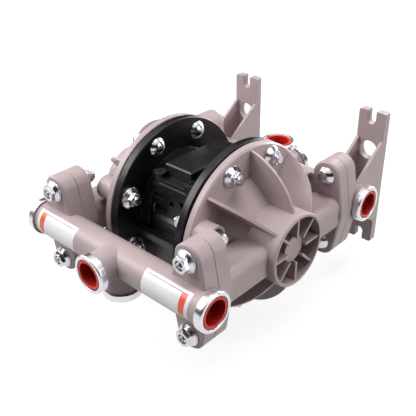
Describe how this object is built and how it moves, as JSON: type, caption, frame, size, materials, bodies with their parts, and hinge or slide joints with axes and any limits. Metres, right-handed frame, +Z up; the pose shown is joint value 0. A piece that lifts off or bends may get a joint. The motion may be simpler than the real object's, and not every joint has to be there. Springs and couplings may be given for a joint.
{
  "type": "air operated diaphragm pump",
  "caption": "Air operated double diaphragm pump with ribbed plastic fluid covers, a black centre body, tubular manifolds with ringed ports, red port caps and slotted feet.",
  "frame": {"origin": "on the floor below the middle of the pump's outline, the pump lying on the rims of its air caps", "axes": "+X along the diaphragm shaft and the manifold tubes, +Y towards the inlet manifold and its feet, +Z up"},
  "size_m": [0.213, 0.2938, 0.157],
  "materials": {
    "taupe_plastic": "moulded, fine grain",
    "black_plastic": "moulded, satin",
    "polished_steel": "polished",
    "zinc_steel": "plain",
    "black_rubber": "matt",
    "white_ptfe": "smooth",
    "red_plastic": "glossy",
    "bronze": "machined",
    "grey_gasket": "matt"
  },
  "bodies": {
    "pump": {"centre_body": "black_plastic", "valve_cover": "black_plastic", "valve_cover_gasket": "grey_gasket", "valve_cover_screws": "black_plastic", "spool_end_caps": "black_plastic", "left_air_cap": "black_plastic", "right_air_cap": "black_plastic", "air_cap_gaskets": "grey_gasket", "air_cap_screws": "zinc_steel", "shaft_bushings": "bronze", "shaft_seals": "black_rubber", "pilot_bushings": "bronze", "left_diaphragm": "black_rubber", "right_diaphragm": "black_rubber", "left_fluid_cover": "taupe_plastic", "right_fluid_cover": "taupe_plastic", "outlet_manifold": "taupe_plastic", "inlet_manifold": "taupe_plastic", "foot_webs": "taupe_plastic", "left_foot": "taupe_plastic", "right_foot": "taupe_plastic", "outlet_port_rings": "polished_steel", "inlet_port_rings": "polished_steel", "ball_seats": "zinc_steel", "joint_o_rings": "black_rubber", "flange_nuts": "polished_steel", "flange_washers": "polished_steel", "flange_bolts_short": "polished_steel", "flange_bolts_long": "polished_steel", "manifold_nuts": "polished_steel", "manifold_washers": "polished_steel", "inlet_manifold_bolts": "polished_steel", "outlet_manifold_bolts": "polished_steel", "exhaust_muffler": "black_plastic"},
    "shaft_assembly": {"diaphragm_shaft": "zinc_steel", "air_side_plates": "zinc_steel", "fluid_side_plates": "taupe_plastic", "diaphragm_bolts": "zinc_steel"},
    "pilot": {"pilot_rod": "zinc_steel"},
    "spool": {"valve_spool": "zinc_steel"},
    "left_outlet_ball": {"left_outlet_ball": "white_ptfe"},
    "right_outlet_ball": {"right_outlet_ball": "white_ptfe"},
    "left_inlet_ball": {"left_inlet_ball": "white_ptfe"},
    "right_inlet_ball": {"right_inlet_ball": "white_ptfe"},
    "outlet_side_cap": {"outlet_side_port_cap": "red_plastic"},
    "outlet_front_cap": {"outlet_front_port_cap": "red_plastic"},
    "inlet_side_cap": {"inlet_side_port_cap": "red_plastic"},
    "inlet_top_cap": {"inlet_top_port_cap": "red_plastic"}
  },
  "joints": [
    {"name": "shaft_stroke", "type": "slide", "parent": "pump", "child": "shaft_assembly", "axis": [1, 0, 0], "range_m": [-0.009, 0.009], "deforming": ["left_diaphragm", "right_diaphragm"]},
    {"name": "pilot_shift", "type": "slide", "parent": "pump", "child": "pilot", "axis": [1, 0, 0], "range_m": [-0.0036, 0.0036]},
    {"name": "spool_shift", "type": "slide", "parent": "pump", "child": "spool", "axis": [0, 1, 0], "range_m": [-0.006, 0.006]},
    {"name": "left_outlet_ball_lift", "type": "slide", "parent": "pump", "child": "left_outlet_ball", "axis": [0, -1, 0], "range_m": [0, 0.005]},
    {"name": "right_outlet_ball_lift", "type": "slide", "parent": "pump", "child": "right_outlet_ball", "axis": [0, -1, 0], "range_m": [0, 0.005]},
    {"name": "left_inlet_ball_lift", "type": "slide", "parent": "pump", "child": "left_inlet_ball", "axis": [0, -1, 0], "range_m": [0, 0.005]},
    {"name": "right_inlet_ball_lift", "type": "slide", "parent": "pump", "child": "right_inlet_ball", "axis": [0, -1, 0], "range_m": [0, 0.005]},
    {"name": "outlet_side_cap_pull", "type": "slide", "parent": "pump", "child": "outlet_side_cap", "axis": [1, 0, 0], "range_m": [0, 0.03]},
    {"name": "outlet_front_cap_pull", "type": "slide", "parent": "pump", "child": "outlet_front_cap", "axis": [0, -1, 0], "range_m": [0, 0.03]},
    {"name": "inlet_side_cap_pull", "type": "slide", "parent": "pump", "child": "inlet_side_cap", "axis": [1, 0, 0], "range_m": [0, 0.03]},
    {"name": "inlet_top_cap_pull", "type": "slide", "parent": "pump", "child": "inlet_top_cap", "axis": [0, 0, 1], "range_m": [0, 0.03]}
  ],
  "couplings": [
    {"joint": "pilot_shift", "follows": "shaft_stroke", "ratio": 0.4}
  ]
}
